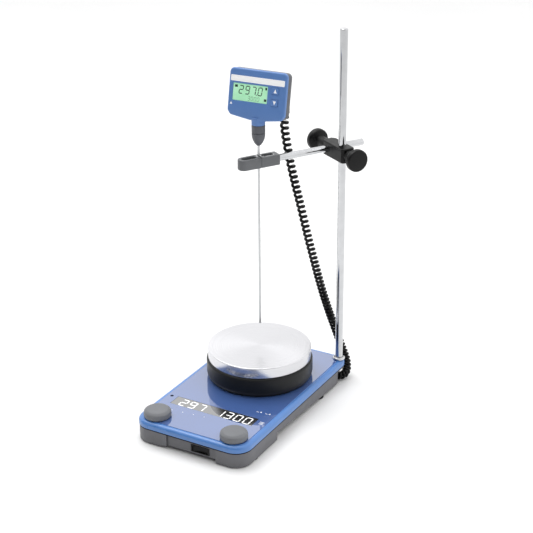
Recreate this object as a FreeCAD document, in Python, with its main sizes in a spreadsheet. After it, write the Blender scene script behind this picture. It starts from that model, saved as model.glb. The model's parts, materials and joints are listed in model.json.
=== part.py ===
"""Hot-plate magnetic stirrer with its stand, boss head, clip and contact thermometer.

Millimetres, +Z up. The origin is the centre of the footprint on the table, and -Y is the front,
where the two knobs and the power switch are. Everything that a size depends on is in the sheet.
"""
import FreeCAD, Part
import Sketcher
import math
import os
import re

from FreeCAD import Placement, Rotation, Vector

doc = FreeCAD.newDocument("stirrer")
sheet = doc.addObject("Spreadsheet::Sheet", "sizes")

SIZES = {
    # base
    "base_width": 160, "base_length": 278, "seam_low": 21, "seam_high": 21.6, "cover_top": 30,
    "panel_top": 30.6, "wall": 2.5, "floor_top": 12, "lobe_bottom": 1.5, "arch_height": 9.5,
    "arch_end": 2.2, "front_arch": 5, "rear_bottom": 2.4, "front_radius": 22, "rear_radius": 12,
    "lip": 0.6, "cover_round": 4.5, "wall_inset": 2.6, "bay_width": 36, "bay_depth": 27,
    "bay_ceiling": 18.5, "foot_radius": 8.8, "foot_x": 70.4, "foot_front": 104, "foot_rear": 69.5,
    "screw_x": 66, "screw_front": 88, "screw_rear": 88,
    # plate and pedestal
    "plate_back": 41, "plate_radius": 67.5, "plate_top": 72, "plate_thick": 14.2, "ring_radius": 69.5,
    "ring_foot": 64, "ring_top": 57.3, "ring_wall": 3, "heater_outer": 48, "heater_inner": 30,
    "standoff_circle": 56,
    # motor and magnets
    "shaft_radius": 3, "bearing_gap": 0.05, "bearing_radius": 8, "bearing_height": 4,
    "can_radius": 24, "can_top": 38.5, "can_bottom": 13, "stator_bore": 12.7, "rotor_radius": 12,
    "magnet_reach": 28, "yoke_low": 40, "yoke_high": 43.5, "magnet_top": 49.8,
    # mains inlet
    "inlet_x": 48, "inlet_half": 15, "inlet_low": 6.4, "inlet_high": 26.6,
    # panel
    "panel_inset": 6.5, "window_width": 119, "window_depth": 19.5, "window_front": 84,
    "knob_x": 55.4, "knob_front": 118, "knob_radius": 17.3, "knob_low": 31.3, "knob_high": 41.3,
    "stem_radius": 3, "press_gap": 0.05, "trim_x": 67.5, "trim_front": 67,
    # power switch
    "switch_x": 18, "switch_z": 11.8, "switch_width": 26, "switch_height": 9.4,
    "rocker_width": 20, "rocker_height": 6.6,
    # stand
    "rod_x": 72.5, "rod_y": 128.3, "rod_radius": 5, "rod_low": 22.5, "rod_high": 482, "bend_gap": 0.05,
    "arm_angle": 58.5, "arm_height": 322.6, "arm_offset": 23.5, "arm_radius": 4.5, "arm_past": 45,
    "arm_into": 92, "head_half": 9.4, "head_thick": 19, "head_front": 15.5, "head_back": 35,
    "boss_radius": 7.4, "boss_front": 9, "boss_rear": 16, "knob_disc": 14.3, "knob_depth": 13,
    # clip and thermometer
    "probe_reach": 107, "probe_radius": 1.5, "probe_low": 100, "clip_half": 6.7, "clip_thick": 16,
    "clip_far": 135.5, "clip_near": 80, "tip_low": 343.2, "gland_low": 360.2, "neck_low": 370.6,
    "neck_high": 381, "gland_radius": 8.5, "case_turn": 3.3, "case_lean": 11.7, "case_pivot": 370,
    "case_shift": 1.3, "case_low": 378, "case_high": 437.2, "case_width": 78, "case_front": 9,
    "case_split": 3.4, "case_back": 7, "case_wall": 2,
    "lcd_width": 47.4, "lcd_height": 21.4, "lcd_left": 33, "lcd_low": 397.4,
    "key_across": 24.6, "key_upper": 414.6, "key_lower": 400.2, "key_half": 4.6,
    # curly cord
    "coil_radius": 5.75, "spout_x": 25, "spout_z": 391, "spout_reach": 8, "spout_radius": 3,
    "plug_x": 50.2, "plug_y": 121, "plug_z": 10.6, "plug_radius": 5.6, "boot_end": 59.3,
}
for row, (alias, number) in enumerate(SIZES.items(), start=1):
    sheet.set(f"A{row}", alias)
    sheet.set(f"B{row}", str(number))
    sheet.setAlias(f"B{row}", alias)
doc.recompute()

WORD = re.compile(r"\b[a-z]+(?:_[a-z]+)*\b")
made = []


def size(alias):
    """The number in one cell of the sheet."""
    return float(sheet.get(alias))


def formula(text):
    """An expression for a property, with each alias pointed at the sheet."""
    return WORD.sub(lambda m: f"sizes.{m[0]}" if m[0] in SIZES else m[0], str(text))


def bind(thing, **properties):
    """Ties properties to formulas; a double underscore stands for the dot in a property's path."""
    for name, text in properties.items():
        thing.setExpression(name.replace("__", "."), formula(text))
    return thing


def at(thing, x=0, y=0, z=0):
    """Places a primitive by formulas."""
    bind(thing, Placement__Base__x=x, Placement__Base__y=y, Placement__Base__z=z)
    return thing


def keep(thing, label):
    """Marks an object as a finished sub-part."""
    thing.Label = label
    made.append(thing)
    return thing


def box(x, y, z):
    """A box between two formulas on each axis."""
    thing = bind(doc.addObject("Part::Box", "Box"), Length=f"({x[1]})-({x[0]})",
                 Width=f"({y[1]})-({y[0]})", Height=f"({z[1]})-({z[0]})")
    return at(thing, x[0], y[0], z[0])


def rod(radius, z, x=0, y=0):
    """An upright cylinder between two heights."""
    thing = bind(doc.addObject("Part::Cylinder", "Cylinder"), Radius=radius, Height=f"({z[1]})-({z[0]})")
    return at(thing, x, y, z[0])


def cut(base, *tools):
    """The base with each tool taken away."""
    for tool in tools:
        result = doc.addObject("Part::Cut", "Cut")
        result.Base = base
        result.Tool = tool
        base = result
    return base


def joined(*things):
    """Several shapes as one object; shapes that don't touch stay separate solids."""
    result = doc.addObject("Part::MultiFuse", "Fuse")
    result.Shapes = list(things)
    return result


def tube(outer, inner, z, x=0, y=0):
    """An upright ring."""
    return cut(rod(outer, z, x, y), rod(inner, z, x, y))


def turned(thing, x, y, angle=0):
    """Moves a finished shape made about the origin to an upright axis and turns it about that axis."""
    holder = doc.addObject("Part::Compound", "Group")
    holder.Links = [thing]
    holder.Placement = Placement(Vector(0, 0, 0), Rotation(Vector(0, 0, 1), 0))
    bind(holder, Placement__Base__x=x, Placement__Base__y=y)
    bind(holder, Placement__Rotation__Angle=angle)
    return holder


def body(name):
    """An empty body and its origin planes by role."""
    made_body = doc.addObject("PartDesign::Body", name)
    planes = {f.Role: f for f in made_body.Origin.OriginFeatures}
    return made_body, planes


def outline(made_body, plane, points, height=None):
    """A closed sketch of straight sides whose corners are held at formulas."""
    sketch = made_body.newObject("Sketcher::SketchObject", "Sketch")
    sketch.AttachmentSupport = (plane, [""])
    sketch.MapMode = "FlatFace"
    if height is not None:
        bind(sketch, AttachmentOffset__Base__z=height)
    values = [[number_of(n) for n in point] for point in points]
    count = len(points)
    for i in range(count):
        start, end = values[i], values[(i + 1) % count]
        sketch.addGeometry(Part.LineSegment(Vector(*start, 0), Vector(*end, 0)), False)
    for i in range(count):
        sketch.addConstraint(Sketcher.Constraint("Coincident", i, 2, (i + 1) % count, 1))
    for i, point in enumerate(points):
        for kind, text, number in zip(("DistanceX", "DistanceY"), point, values[i]):
            key = sketch.addConstraint(Sketcher.Constraint(kind, -1, 1, i, 1, number))
            sketch.setExpression(f"Constraints[{key}]", formula(text))
    return sketch


def number_of(text):
    """A formula's number, for a sketch's first drawing."""
    return float(sheet.evalExpression(formula(text)))


def pad(made_body, sketch, length):
    """A pad of a sketch, up from its plane."""
    feature = made_body.newObject("PartDesign::Pad", "Pad")
    feature.Profile = sketch
    bind(feature, Length=length)
    sketch.Visibility = False
    return feature


def spin(made_body, sketch):
    """A full turn of a sketch on the XZ plane about Z."""
    feature = made_body.newObject("PartDesign::Revolution", "Revolution")
    feature.Profile = sketch
    feature.ReferenceAxis = (sketch, ["V_Axis"])
    feature.Angle = 360
    return feature


def rounded(made_body, feature, picked, radius, kind="PartDesign::Fillet"):
    """A fillet or chamfer on the edges of a feature that a test picks."""
    doc.recompute()
    names = [f"Edge{i}" for i, edge in enumerate(feature.Shape.Edges, start=1) if picked(edge)]
    result = made_body.newObject(kind, "Rounding")
    result.Base = (feature, names)
    bind(result, **{"Radius" if kind.endswith("Fillet") else "Size": radius})
    return result


def upright(edge, x_sign=0, y_sign=0):
    """Whether an edge is vertical, and on the asked side of each axis."""
    box_of = edge.BoundBox
    if box_of.XLength > 0.01 or box_of.YLength > 0.01:
        return False
    return x_sign * box_of.Center.x >= 0 and y_sign * box_of.Center.y >= 0


def level(edge, height):
    """Whether a whole edge lies at one height."""
    return abs(edge.BoundBox.ZMin - height) < 0.01 and edge.BoundBox.ZLength < 0.01


def slab(name, inset, z, front, rear, last=None):
    """A rounded rectangle of the base's outline, drawn in by an inset, as a body."""
    made_body, planes = body(name)
    x, y = f"base_width/2-({inset})", f"base_length/2-({inset})"
    corners = [(f"-({x})", f"-({y})"), (x, f"-({y})"), (x, y), (f"-({x})", y)]
    feature = pad(made_body, outline(made_body, planes["XY_Plane"], corners, z[0]), f"({z[1]})-({z[0]})")
    feature = rounded(made_body, feature, lambda e: upright(e, 0, -1), f"{front}-({inset})")
    feature = rounded(made_body, feature, lambda e: upright(e, 0, 1), f"{rear}-({inset})")
    if last:
        rounded(made_body, feature, lambda e: level(e, number_of(z[1])), last)
    return made_body


def profile(name, points, x=0, y=0):
    """A turned part: an outline of (radius, height) formulas spun about an upright axis."""
    made_body, planes = body(name)
    spin(made_body, outline(made_body, planes["XZ_Plane"], points))
    at(made_body, x, y, 0)
    return made_body


def mirrored_pair(make):
    """The same piece on the left and on the right."""
    return joined(make(-1), make(1))


# ---------------------------------------------------------------- base

def lower_housing():
    """The grey tray: corner lobes near the table, arches between them and a bay for the sensor's plug."""
    tray = slab("TrayShell", "lip", ("lobe_bottom", "seam_low"), "front_radius", "rear_radius")
    cavity = slab("TrayCavity", "lip+wall_inset+wall", ("floor_top", "seam_low+1"),
                  "front_radius", "rear_radius+wall_inset")
    sides, planes = body("SideArch")
    arch = [("-54", "-1"), ("-51", "arch_height"), ("103", "arch_end"), ("103.1", "-1")]
    side = outline(sides, planes["YZ_Plane"], arch, "-base_width")
    pad(sides, side, "2*base_width")
    front, planes = body("FrontArch")
    arch = [("-46", "-1"), ("-39", "2.6"), ("-29", "front_arch-0.8"), ("41", "front_arch"), ("41.5", "-1")]
    shape = outline(front, planes["XZ_Plane"], arch)
    pad(front, shape, "base_length/2+1")
    rear = box(("-base_width", "base_width"), ("base_length/2-36", "base_length"), ("-1", "rear_bottom"))
    recess = box(("-30", "41"), ("-base_length", "-base_length/2+lip+wall_inset"), ("-1", "seam_low+1"))
    flanks = mirrored_pair(flank)
    bay = [box(("base_width/2-bay_width", "base_width"), ("base_length/2-bay_depth", "base_length"),
               ("-1", "bay_ceiling")) for _ in range(2)]
    tray = cut(tray, cavity, sides, front, rear, recess, flanks, bay[0])
    bay_wall = box(("base_width/2-bay_width-wall", "base_width/2-wall_inset-wall"),
                   ("base_length/2-bay_depth-wall", "base_length/2-lip-wall_inset-wall"),
                   ("rear_bottom", "seam_low"))
    posts = [rod("3", ("floor_top-0.5", "14"), x, y) for x in ("-58", "58") for y in ("-98", "-58")]
    tray = joined(tray, cut(bay_wall, bay[1]), *posts)
    holes = [
        box(("switch_x-12.1", "switch_x+12.1"), ("-base_length/2-1", "-base_length/2+lip+wall_inset+12.3"),
            ("switch_z-4.4", "switch_z+4.4")),
        inlet_room("inlet_low+1.1", "seam_low+1"),
        sideways("plug_radius+1", ("base_length/2-bay_depth-wall-6.2", "base_length/2-bay_depth+1"),
                 "plug_x", "plug_z"),
    ]
    for x, y in screw_places():
        holes.append(rod("4.3", ("-1", "7"), x, y))
        holes.append(rod("2.1", ("6", "floor_top+1"), x, y))
    for x, y in foot_places():
        holes.append(rod("foot_radius", ("-1", "3"), x, y))
    keep(cut(tray, *holes), "lower_housing")


def flank(side):
    """A wedge off one long wall, deepest behind the front lobe and running out at the rear."""
    wedge, planes = body("Flank")
    inside, outside = f"{side}*(base_width/2-lip-1.2)", f"{side}*(base_width/2+4)"
    shape = outline(wedge, planes["XY_Plane"], [
        (inside, "-54"), (outside, "-54"), (outside, "60"), (f"{side}*(base_width/2-lip)", "60")], "-1")
    pad(wedge, shape, "seam_low-0.4")
    return wedge


def inlet_room(low, high):
    """The room in the back wall for the mains inlet, between two heights."""
    return box(("-inlet_x-inlet_half+0.9", "-inlet_x+inlet_half-0.9"),
               ("base_length/2-18.3", "base_length/2+1"), (low, high))


def sideways(radius, y, x, z):
    """A cylinder along Y."""
    thing = bind(doc.addObject("Part::Cylinder", "Across"), Radius=radius, Height=f"({y[1]})-({y[0]})")
    thing.Placement = Placement(Vector(0, 0, 0), Rotation(Vector(1, 0, 0), -90))
    return at(thing, x, y[0], z)


def screw_places():
    """The housing screws, as (x, y) formulas."""
    return [(f"{s}*screw_x", y) for s in (-1, 1) for y in ("-screw_front", "screw_rear")]


def foot_places():
    """The rubber feet, as (x, y) formulas."""
    return [(f"{s}*foot_x", y) for s in (-1, 1) for y in ("-foot_front", "foot_rear")]


def standoff_places():
    """The three plate standoffs, as (x, y) formulas."""
    places = []
    for turn in (90, 210, 330):
        across, along = math.cos(math.radians(turn)), math.sin(math.radians(turn))
        places.append((f"{across:.5f}*standoff_circle", f"plate_back+{along:.5f}*standoff_circle"))
    return places


def upper_cover():
    """The blue shell over the tray, with the openings for the motor, window, stems, screw and rod."""
    shell = slab("CoverShell", "0", ("seam_high", "cover_top"), "front_radius", "rear_radius", "cover_round")
    room = slab("CoverRoom", "wall", ("seam_high-1", "cover_top-wall"), "front_radius", "rear_radius")
    openings = [
        room,
        rod("can_radius+4", ("seam_high", "cover_top+1"), 0, "plate_back"),
        box(("-window_width/2", "window_width/2"), ("-window_front", "-window_front+window_depth"),
            ("seam_high", "cover_top+1")),
        rod("stem_radius+1", ("seam_high", "cover_top+1"), "-knob_x", "-knob_front"),
        rod("stem_radius+1", ("seam_high", "cover_top+1"), "knob_x", "-knob_front"),
        rod("2.2", ("seam_high", "cover_top+1"), "-trim_x", "-trim_front"),
        rod("rod_radius+0.4", ("seam_high", "cover_top+1"), "rod_x", "rod_y"),
        inlet_room("seam_high-1", "inlet_high-0.9"),
    ]
    shell = cut(shell, *openings)
    posts = []
    for x, y in screw_places():
        posts.append(cut(rod("5", ("floor_top", "cover_top-wall"), x, y),
                         rod("2", ("floor_top", "26"), x, y)))
    keep(joined(shell, *posts), "upper_cover")


def housing_seal():
    """The thin black band in the seam."""
    band = slab("SealBand", "lip+0.3", ("seam_low", "seam_high"), "front_radius", "rear_radius")
    inner = slab("SealRoom", "wall+0.2", ("seam_low-1", "seam_high+1"), "front_radius", "rear_radius")
    keep(cut(band, inner, inlet_room("seam_low-1", "seam_high+1")), "housing_seal")


def top_panel():
    """The glossy pane let into the cover, open over the display, the stems, the screw, ring and rod."""
    pane = slab("Pane", "panel_inset", ("cover_top", "panel_top"), "front_radius", "rear_radius")
    span = ("cover_top-1", "panel_top+1")
    window = box(("-window_width/2", "window_width/2"), ("-window_front", "-window_front+window_depth"), span)
    keep(cut(pane, window,
             rod("ring_foot+1.8", span, 0, "plate_back"),
             rod("stem_radius+1", span, "-knob_x", "-knob_front"),
             rod("stem_radius+1", span, "knob_x", "-knob_front"),
             rod("2.2", span, "-trim_x", "-trim_front"),
             rod("8.6", span, "rod_x", "rod_y")), "top_panel")


def base_fittings():
    """Feet, screws, display, boards, sockets and the other pieces held by the housing."""
    keep(joined(*[rod("foot_radius-0.1", ("0", "3"), x, y) for x, y in foot_places()]), "rubber_feet")
    screws = []
    for x, y in screw_places():
        screws.append(joined(rod("4", ("3.6", "7"), x, y), rod("2", ("7", "25"), x, y)))
    keep(joined(*screws), "housing_screws")
    keep(box(("-window_width/2+0.3", "window_width/2-0.3"),
             ("-window_front+0.3", "-window_front+window_depth-0.3"), ("27.5", "panel_top-0.1")),
         "lcd_module")
    board = box(("-66", "66"), ("-127", "-54"), ("14", "15.6"))
    keep(cut(board, *[rod("5.4", ("13", "17"), x, y) for x, y in screw_places()],
             box(("switch_x-13.2", "switch_x+13.2"), ("-130", "-112"), ("13", "17"))), "main_board")
    encoders = mirrored_pair(lambda side: cut(
        box((f"{side}*knob_x-6", f"{side}*knob_x+6"), ("-knob_front-6", "-knob_front+6"), ("15.6", "23")),
        rod("stem_radius+press_gap", ("17", "24"), f"{side}*knob_x", "-knob_front")))
    trimmer = cut(box(("-trim_x-4", "-trim_x+4"), ("-trim_front-4", "-trim_front+4"), ("15.6", "26")),
                  rod("1.55", ("23", "27"), "-trim_x", "-trim_front"))
    keep(joined(encoders, trimmer), "board_controls")
    core = box(("-24", "24"), ("-48", "-20"), ("13", "27"))
    coil = box(("-12", "12"), ("-52", "-16"), ("14.5", "26.5"))
    keep(joined(core, coil), "transformer")
    block = doc.addObject("Part::Common", "SocketBlock")
    top = "cover_top-wall-0.1"
    block.Base = box(("55.5", "base_width"), ("base_length/2-bay_depth+1.4", "base_length"),
                     ("seam_high", top))
    block.Tool = slab("SocketRoom", "wall+0.1", ("seam_high", top), "front_radius", "rear_radius")
    keep(cut(block, rod("rod_radius+bend_gap", ("rod_low-0.1", "31"), "rod_x", "rod_y")), "rod_socket")


def mains_parts():
    """The appliance inlet with its pins in the back wall."""
    left, right = "-inlet_x-inlet_half", "-inlet_x+inlet_half"
    flange = box((left, right), ("base_length/2", "base_length/2+1.4"), ("inlet_low", "inlet_high"))
    shell = box((f"{left}+1.5", f"{right}-1.5"), ("base_length/2-18", "base_length/2+0.5"),
                ("inlet_low+1.4", "inlet_high-1.4"))
    hollow = box((f"{left}+3", f"{right}-3"), ("base_length/2-14", "base_length/2+2"),
                 ("inlet_low+2.1", "inlet_high-2.1"))
    keep(cut(joined(flange, shell), hollow), "mains_inlet")
    pins = [box((f"-inlet_x+{x}-1", f"-inlet_x+{x}+1"), ("base_length/2-14", "base_length/2-5.5"),
                (f"inlet_low+{z}", f"inlet_low+{z}+4")) for x, z in (("-7", "6"), ("0", "10"), ("7", "6"))]
    keep(joined(*pins), "inlet_pins")


def sensor_port():
    """The round socket in the bay and the angled plug that sits in it."""
    wall_face = "base_length/2-bay_depth"
    barrel = cut(sideways("plug_radius+0.9", (f"{wall_face}-wall-6", f"{wall_face}"), "plug_x", "plug_z"),
                 sideways("plug_radius-1", (f"{wall_face}-wall-4", f"{wall_face}+1"), "plug_x", "plug_z"))
    keep(barrel, "sensor_socket")
    nose = sideways("plug_radius-1.3", (f"{wall_face}-wall-3.5", f"{wall_face}+0.5"), "plug_x", "plug_z")
    grip = sideways("plug_radius", (f"{wall_face}+0.4", f"{wall_face}+14"), "plug_x", "plug_z")
    boot = bind(doc.addObject("Part::Cone", "Boot"), Radius1="4.6", Radius2="5.4", Height="boot_end-plug_x-2")
    boot.Placement = Placement(Vector(0, 0, 0), Rotation(Vector(0, 1, 0), 90))
    at(boot, "plug_x+2", "plug_y", "plug_z-1")
    keep(joined(nose, grip, boot), "cord_plug")


def power_switch():
    """The bezel in the front wall and the rocker that turns in it about an upright pin."""
    face = "-base_length/2+lip+wall_inset"
    bezel = joined(
        box(("switch_x-switch_width/2", "switch_x+switch_width/2"), (f"{face}-1", f"{face}"),
            ("switch_z-switch_height/2", "switch_z+switch_height/2")),
        box(("switch_x-12", "switch_x+12"), (f"{face}-0.5", f"{face}+12"), ("switch_z-4.3", "switch_z+4.3")))
    room = box(("switch_x-rocker_width/2-1", "switch_x+rocker_width/2+1"), (f"{face}-2", f"{face}+10.5"),
               ("switch_z-rocker_height/2-0.2", "switch_z+rocker_height/2+0.2"))
    keep(cut(bezel, room), "power_switch_frame")
    rocker, planes = body("Rocker")
    half = "rocker_width/2"
    points = [(f"-{half}", "-5.4"), ("0", "-4.2"), (half, "-5.4"), (f"{half}-1.2", "1.6"), ("3.4", "3.4"),
              ("-3.4", "3.4"), (f"-{half}+1.2", "1.6")]
    face_shape = outline(rocker, planes["XY_Plane"], points)
    feature = pad(rocker, face_shape, "rocker_height")
    rounded(rocker, feature, lambda e: e.BoundBox.YMax < -4 and e.BoundBox.ZLength < 0.01, "0.5")
    bind(rocker, Placement__Base__x="switch_x", Placement__Base__y=f"{face}+5",
         Placement__Base__z="switch_z-rocker_height/2", Placement__Rotation__Angle="6")
    keep(rocker, "power_rocker")


def pedestal():
    """The black ring, the plate on it and what sits between them."""
    radius, top = "ring_radius", "ring_top"
    ring = profile("Ring", [
        ("ring_foot-ring_wall", "cover_top"), ("ring_foot", "cover_top"), ("ring_foot+2.6", "cover_top+1.4"),
        ("ring_foot+4.4", "cover_top+4.4"), (radius, "cover_top+9"), (radius, f"{top}-5"),
        (f"{radius}-0.9", f"{top}-2.2"), (f"{radius}-3.2", top), (f"{radius}-8", top),
        (f"{radius}-8", f"{top}-2"),
        (f"{radius}-ring_wall-0.8", f"{top}-3"), (f"{radius}-ring_wall-0.8", "cover_top+9"),
        ("ring_foot-ring_wall", "cover_top+4")], 0, "plate_back")
    keep(ring, "pedestal_ring")
    edge = "0.9"
    low = "plate_top-plate_thick"
    plate = profile("Plate", [
        ("0", low), (f"plate_radius-{edge}", low), ("plate_radius", f"{low}+{edge}"),
        ("plate_radius", f"plate_top-{edge}"), (f"plate_radius-{edge}", "plate_top"), ("0", "plate_top")],
        0, "plate_back")
    keep(plate, "hot_plate")
    keep(tube("heater_outer", "heater_inner", (f"{low}-3", low), 0, "plate_back"), "heating_element")
    keep(tube("50", "8", (f"{low}-6.6", f"{low}-3.4"), 0, "plate_back"), "insulation_disc")
    keep(rod("3", (f"{low}-5", low), 0, "plate_back"), "plate_sensor")
    keep(joined(*[rod("3.5", ("cover_top", low), x, y) for x, y in standoff_places()]), "plate_standoffs")


def motor():
    """The motor in its can, hung from the cover, and the magnet bar that it turns."""
    wide, seat = "can_radius", "bearing_radius"
    can = profile("Can", [
        (f"{seat}", "can_bottom"), (wide, "can_bottom"), (wide, "cover_top"), (f"{wide}+9", "cover_top"),
        (f"{wide}+9", "cover_top+2"), (wide, "cover_top+2"), (wide, "can_top"), (seat, "can_top"),
        (seat, "can_top-bearing_height"), (f"{wide}-2", "can_top-bearing_height"),
        (f"{wide}-2", "can_bottom+bearing_height"), (seat, "can_bottom+bearing_height")], 0, "plate_back")
    keep(can, "motor_housing")
    keep(tube(f"{wide}-2", "stator_bore", ("can_bottom+bearing_height+0.5", "can_top-bearing_height-0.5"),
              0, "plate_back"), "motor_stator")
    inner = "shaft_radius+bearing_gap"
    keep(joined(tube(seat, inner, ("can_bottom", "can_bottom+bearing_height"), 0, "plate_back"),
                tube(seat, inner, ("can_top-bearing_height", "can_top"), 0, "plate_back")), "motor_bearings")
    keep(rod("shaft_radius", ("can_bottom-0.5", "yoke_high"), 0, "plate_back"), "motor_shaft")
    span = ("can_bottom+bearing_height+1.5", "can_top-bearing_height-1.5")
    keep(tube("rotor_radius", "shaft_radius", span, 0, "plate_back"), "rotor_magnet")
    yoke = box(("-magnet_reach", "magnet_reach"), ("plate_back-9", "plate_back+9"), ("yoke_low", "yoke_high"))
    keep(cut(yoke, rod("shaft_radius", ("yoke_low-1", "yoke_high+1"), 0, "plate_back")), "magnet_yoke")
    keep(mirrored_pair(lambda side: box((f"{side}*20-8", f"{side}*20+8"), ("plate_back-8", "plate_back+8"),
                                        ("yoke_high", "magnet_top"))), "drive_magnets")


def knob_set(name, side):
    """A domed knob that turns on a stem, and the stem that is pressed in with it."""
    stem = joined(rod("stem_radius", ("18", "knob_high-3"), f"{side}*knob_x", "-knob_front"),
                  rod("stem_radius+2", ("24", "26.5"), f"{side}*knob_x", "-knob_front"))
    keep(stem, f"{name}_plunger")
    wide, high = "knob_radius", "knob_high"
    dome = profile(f"{name.title()}Knob", [
        ("stem_radius+press_gap", "knob_low"), (f"{wide}-1.2", "knob_low"), (wide, "knob_low+1.2"),
        (f"{wide}-0.2", f"{high}-3"), (f"{wide}-1.4", f"{high}-1.5"), (f"{wide}-4.5", f"{high}-0.5"),
        (f"{wide}-9", f"{high}-0.1"), ("0", high), ("0", f"{high}-2.9"),
        ("stem_radius+press_gap", f"{high}-2.9")], f"{side}*knob_x", "-knob_front")
    keep(dome, f"{name}_knob")


def safety_screw():
    """The slotted trimmer that sets the safety temperature."""
    stem = joined(rod("1.5", ("23.2", "panel_top-0.4"), "-trim_x", "-trim_front"),
                  rod("1.9", ("cover_top-2.2", "panel_top-0.4"), "-trim_x", "-trim_front"))
    slot = box(("-trim_x-2", "-trim_x+2"), ("-trim_front-0.3", "-trim_front+0.3"),
               ("panel_top-1.4", "panel_top"))
    keep(cut(stem, slot), "safety_screw")


# ---------------------------------------------------------------- stand

def stand():
    """The chromed rod with its collar."""
    tip = "1"
    pole = profile("Pole", [
        ("0", "rod_low"), ("rod_radius-0.5", "rod_low"), ("rod_radius", "rod_low+0.5"),
        ("rod_radius", f"rod_high-{tip}"), (f"rod_radius-{tip}", "rod_high"), ("0", "rod_high")],
        "rod_x", "rod_y")
    keep(pole, "support_rod")
    collar = profile("Collar", [
        ("rod_radius", "cover_top+0.1"), ("7.6", "cover_top+0.1"), ("8", "cover_top+0.5"),
        ("8", "cover_top+2"), ("7", "cover_top+3.2"), ("rod_radius", "cover_top+3.2")], "rod_x", "rod_y")
    keep(collar, "rod_collar")


def along_head(radius, u, height="arm_height"):
    """A cylinder along the head's long axis, between two distances from the support rod."""
    thing = bind(doc.addObject("Part::Cylinder", "Along"), Radius=radius, Height=f"({u[1]})-({u[0]})")
    thing.Placement = Placement(Vector(0, 0, 0), Rotation(Vector(0, 1, 0), 90))
    return at(thing, u[0], 0, height)


def along_arm(radius, s, u="-arm_offset", height="arm_height"):
    """A cylinder along the holding rod, between two distances from the head; positive is past the head."""
    thing = bind(doc.addObject("Part::Cylinder", "Arm"), Radius=radius, Height=f"({s[1]})-({s[0]})")
    thing.Placement = Placement(Vector(0, 0, 0), Rotation(Vector(1, 0, 0), -90))
    return at(thing, u, s[0], height)


def on_head(thing, label):
    """Turns a piece made in the head's own axes to where the head is, and keeps it."""
    return keep(turned(thing, "rod_x", "rod_y", "arm_angle-90"), label)


def boss_head():
    """The block that joins the two rods, with a boss at each end for its clamping screw."""
    block, planes = body("HeadBlock")
    half, thick = "head_half", "head_thick/2"
    shape = outline(block, planes["XY_Plane"], [
        ("-head_back", f"-{thick}+4"), ("-head_back+5", f"-{thick}"), ("head_front-3", f"-{thick}"),
        ("head_front", f"-{thick}+3"), ("head_front", f"{thick}-3"), ("head_front-3", thick),
        ("-head_back+5", thick), ("-head_back", f"{thick}-4")], f"arm_height-{half}")
    feature = pad(block, shape, f"2*{half}")
    faces = [number_of(f"arm_height+{half}"), number_of(f"arm_height-{half}")]
    rounded(block, feature, lambda e: any(level(e, face) for face in faces), "1.5")
    bosses = [along_head("boss_radius", ("head_front-1", "head_front+boss_front")),
              along_head("boss_radius", ("-head_back-boss_rear", "-head_back+1"))]
    holes = [
        rod("rod_radius+bend_gap", ("arm_height-20", "arm_height+20")),
        along_arm("arm_radius+bend_gap", ("-20", "20")),
        along_head("3.05", ("3", "head_front+boss_front+1")),
        along_head("3.05", ("-head_back-boss_rear-1", "-arm_offset")),
    ]
    on_head(cut(joined(block, *bosses), *holes), "boss_head")


def clamp_knobs():
    """A mushroom knob and its screw at each end of the head."""
    ends = {"rod_clamp": ("head_front+boss_front+1", 1, "rod_radius+0.3"),
            "arm_clamp": ("-head_back-boss_rear-1", -1, "arm_offset+arm_radius+0.3")}
    for name, (start, way, tip) in ends.items():
        reach = sorted((f"{way}*({tip})", f"{start}+{way}*4"), key=number_of)
        on_head(along_head("3", reach), f"{name}_screw")
        knob, planes = body(f"{name.title()}Knob")
        points = [("0", "0"), ("5.5", "0"), ("6", "2"), ("knob_disc-2", "3.4"), ("knob_disc", "5.4"),
                  ("knob_disc", "knob_depth-2.6"), ("knob_disc-1.6", "knob_depth-0.8"),
                  ("knob_disc-5", "knob_depth"), ("0", "knob_depth")]
        spin(knob, outline(knob, planes["XZ_Plane"], points))
        knob.Placement = Placement(Vector(0, 0, 0), Rotation(Vector(0, 1, 0), 90 * way))
        bind(knob, Placement__Base__x=start, Placement__Base__z="arm_height")
        hollow = along_head("3", sorted((start, f"{start}+{way}*4"), key=number_of))
        on_head(cut(knob, hollow), f"{name}_knob")


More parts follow.
